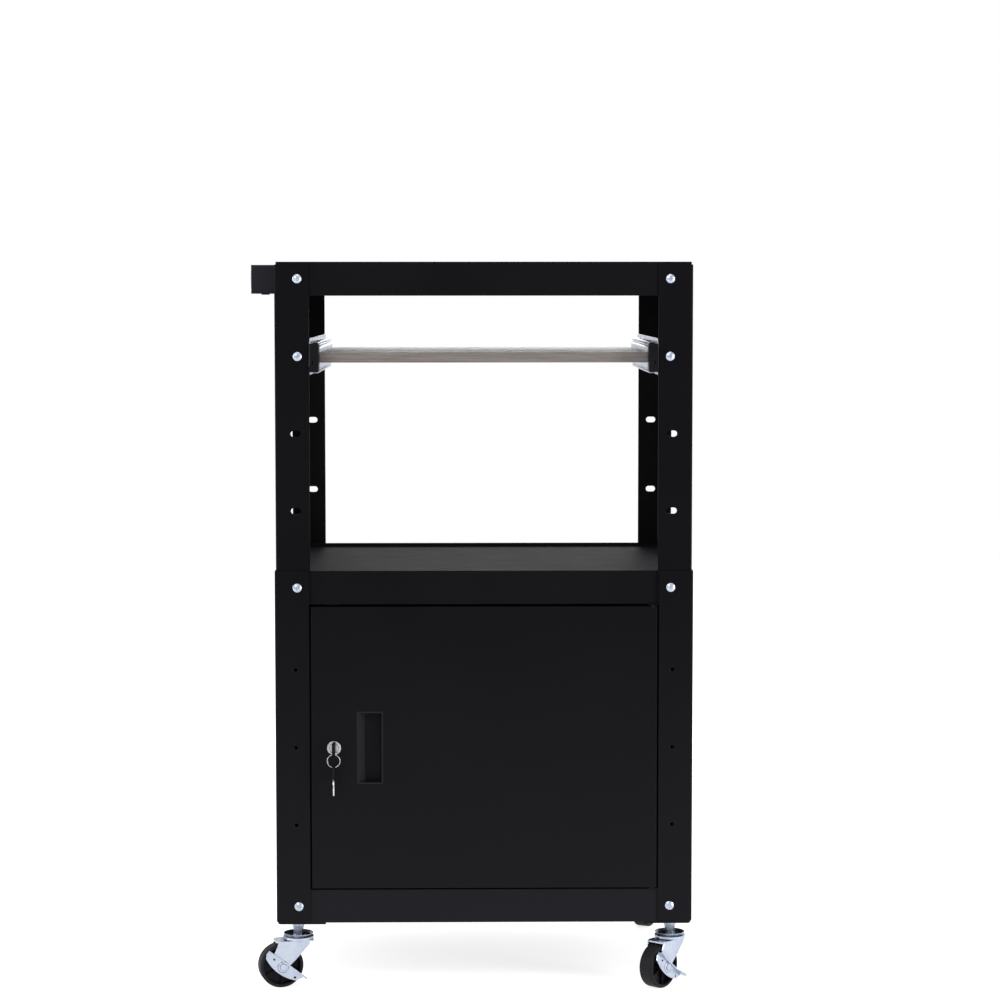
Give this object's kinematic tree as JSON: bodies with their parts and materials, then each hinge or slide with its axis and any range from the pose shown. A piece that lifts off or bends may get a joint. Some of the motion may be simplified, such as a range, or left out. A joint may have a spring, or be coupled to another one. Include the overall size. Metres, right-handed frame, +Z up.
{
  "type": "projector cart",
  "caption": "Steel audio-visual cart with lipped shelves, a sliding tray, a locking cabinet, a side power box and swivel casters with brakes.",
  "frame": {"origin": "on the floor, under the middle of the cart's overall footprint", "axes": "+Z up, +X to the right of someone facing the door, +Y from the door to the back"},
  "size_m": [0.6466, 0.512, 1.067],
  "materials": {
    "black_coat": "satin powder coat",
    "box_grey": "satin powder coat",
    "zinc": "bright zinc plate",
    "lock_chrome": "polished",
    "black_plastic": "moulded",
    "wheel_plastic": "moulded",
    "nylon": "moulded",
    "tray_laminate": "matt laminate",
    "tray_edge": "grained edge strip"
  },
  "bodies": {
    "frame": {"upper_leg_front_left": "black_coat", "upper_leg_front_right": "black_coat", "upper_leg_rear_left": "black_coat", "upper_leg_rear_right": "black_coat", "lower_leg_front_left": "black_coat", "lower_leg_front_right": "black_coat", "lower_leg_rear_left": "black_coat", "lower_leg_rear_right": "black_coat", "top_shelf": "black_coat", "middle_shelf": "black_coat", "bottom_shelf": "black_coat", "side_panel_left": "black_coat", "side_panel_right": "black_coat", "back_panel": "black_coat", "foot_plates": "black_coat", "frame_bolts": "zinc", "frame_nuts": "zinc", "tray_bracket_left": "zinc", "tray_bracket_right": "zinc", "slide_outers": "zinc", "power_box": "box_grey", "power_sockets": "black_plastic", "power_screws": "zinc", "cord_gland": "black_plastic", "hinge_plates": "black_coat", "hinge_pins": "zinc", "door_stop": "black_coat", "caster_stems": "zinc", "caster_nuts": "zinc"},
    "door": {"door_panel": "black_coat", "door_pull": "black_plastic", "lock_housing": "lock_chrome", "lock_nut": "zinc", "door_bushes": "nylon"},
    "lock": {"lock_plug": "lock_chrome", "lock_cam": "zinc", "cam_screw": "zinc", "key": "black_plastic"},
    "ring": {"key_ring": "lock_chrome"},
    "spare": {"spare_key": "black_plastic"},
    "slide_middle": {"slide_middles": "zinc"},
    "tray": {"tray_board": "tray_laminate", "tray_band": "tray_edge", "slide_inners": "zinc", "slide_ends": "black_plastic", "tray_screws": "zinc"},
    "caster_front_left": {"fork_front_left": "zinc", "axle_front_left": "zinc"},
    "roller_front_left": {"wheel_front_left": "wheel_plastic"},
    "caster_front_right": {"fork_front_right": "zinc", "axle_front_right": "zinc"},
    "roller_front_right": {"wheel_front_right": "wheel_plastic"},
    "caster_rear_left": {"fork_rear_left": "zinc", "axle_rear_left": "zinc"},
    "roller_rear_left": {"wheel_rear_left": "wheel_plastic"},
    "caster_rear_right": {"fork_rear_right": "zinc", "axle_rear_right": "zinc"},
    "roller_rear_right": {"wheel_rear_right": "wheel_plastic"},
    "brake_left": {"brake_lever_left": "zinc"},
    "brake_right": {"brake_lever_right": "zinc"}
  },
  "joints": [
    {"name": "door_hinge", "type": "hinge", "parent": "frame", "child": "door", "pos_m": [0.2653, -0.22443, 0.351], "axis": [0, 0, 1], "range_deg": [0, 100]},
    {"name": "lock_turn", "type": "hinge", "parent": "door", "child": "lock", "pos_m": [-0.2012, -0.23043, 0.359], "axis": [0, 1, 0], "range_deg": [0, 90]},
    {"name": "ring_swing", "type": "hinge", "parent": "lock", "child": "ring", "pos_m": [-0.2012, -0.24603, 0.35151], "axis": [1, 0, 0], "range_deg": [-45, 5]},
    {"name": "spare_swing", "type": "hinge", "parent": "ring", "child": "spare", "pos_m": [-0.2012, -0.24603, 0.33291], "axis": [1, 0, 0], "range_deg": [-30, 4]},
    {"name": "tray_slide", "type": "slide", "parent": "frame", "child": "tray", "axis": [0, -1, 0], "range_m": [0, 0.3]},
    {"name": "slide_middle_slide", "type": "slide", "parent": "frame", "child": "slide_middle", "axis": [0, -1, 0], "range_m": [0, 0.15]},
    {"name": "swivel_front_left", "type": "hinge", "parent": "frame", "child": "caster_front_left", "pos_m": [-0.2567, -0.20043, 0.075], "axis": [0, 0, 1], "continuous": true},
    {"name": "roll_front_left", "type": "hinge", "parent": "caster_front_left", "child": "roller_front_left", "pos_m": [-0.28265, -0.20787, 0.0325], "axis": [0.2756, -0.9613, 0], "continuous": true},
    {"name": "brake_press_left", "type": "hinge", "parent": "caster_front_left", "child": "brake_left", "pos_m": [-0.28265, -0.20787, 0.0325], "axis": [0.2756, -0.9613, 0], "range_deg": [0, 20]},
    {"name": "swivel_front_right", "type": "hinge", "parent": "frame", "child": "caster_front_right", "pos_m": [0.2933, -0.20043, 0.075], "axis": [0, 0, 1], "continuous": true},
    {"name": "roll_front_right", "type": "hinge", "parent": "caster_front_right", "child": "roller_front_right", "pos_m": [0.27523, -0.22049, 0.0325], "axis": [0.7431, -0.6691, 0], "continuous": true},
    {"name": "brake_press_right", "type": "hinge", "parent": "caster_front_right", "child": "brake_right", "pos_m": [0.27523, -0.22049, 0.0325], "axis": [0.7431, -0.6691, 0], "range_deg": [0, 20]},
    {"name": "swivel_rear_left", "type": "hinge", "parent": "frame", "child": "caster_rear_left", "pos_m": [-0.2567, 0.19657, 0.075], "axis": [0, 0, 1], "continuous": true},
    {"name": "roll_rear_left", "type": "hinge", "parent": "caster_rear_left", "child": "roller_rear_left", "pos_m": [-0.26369, 0.22265, 0.0325], "axis": [-0.9659, -0.2588, 0], "continuous": true},
    {"name": "swivel_rear_right", "type": "hinge", "parent": "frame", "child": "caster_rear_right", "pos_m": [0.2933, 0.19657, 0.075], "axis": [0, 0, 1], "continuous": true},
    {"name": "roll_rear_right", "type": "hinge", "parent": "caster_rear_right", "child": "roller_rear_right", "pos_m": [0.28189, 0.1721, 0.0325], "axis": [0.9063, -0.4226, 0], "continuous": true}
  ],
  "couplings": [
    {"joint": "slide_middle_slide", "follows": "tray_slide", "ratio": 0.5}
  ]
}
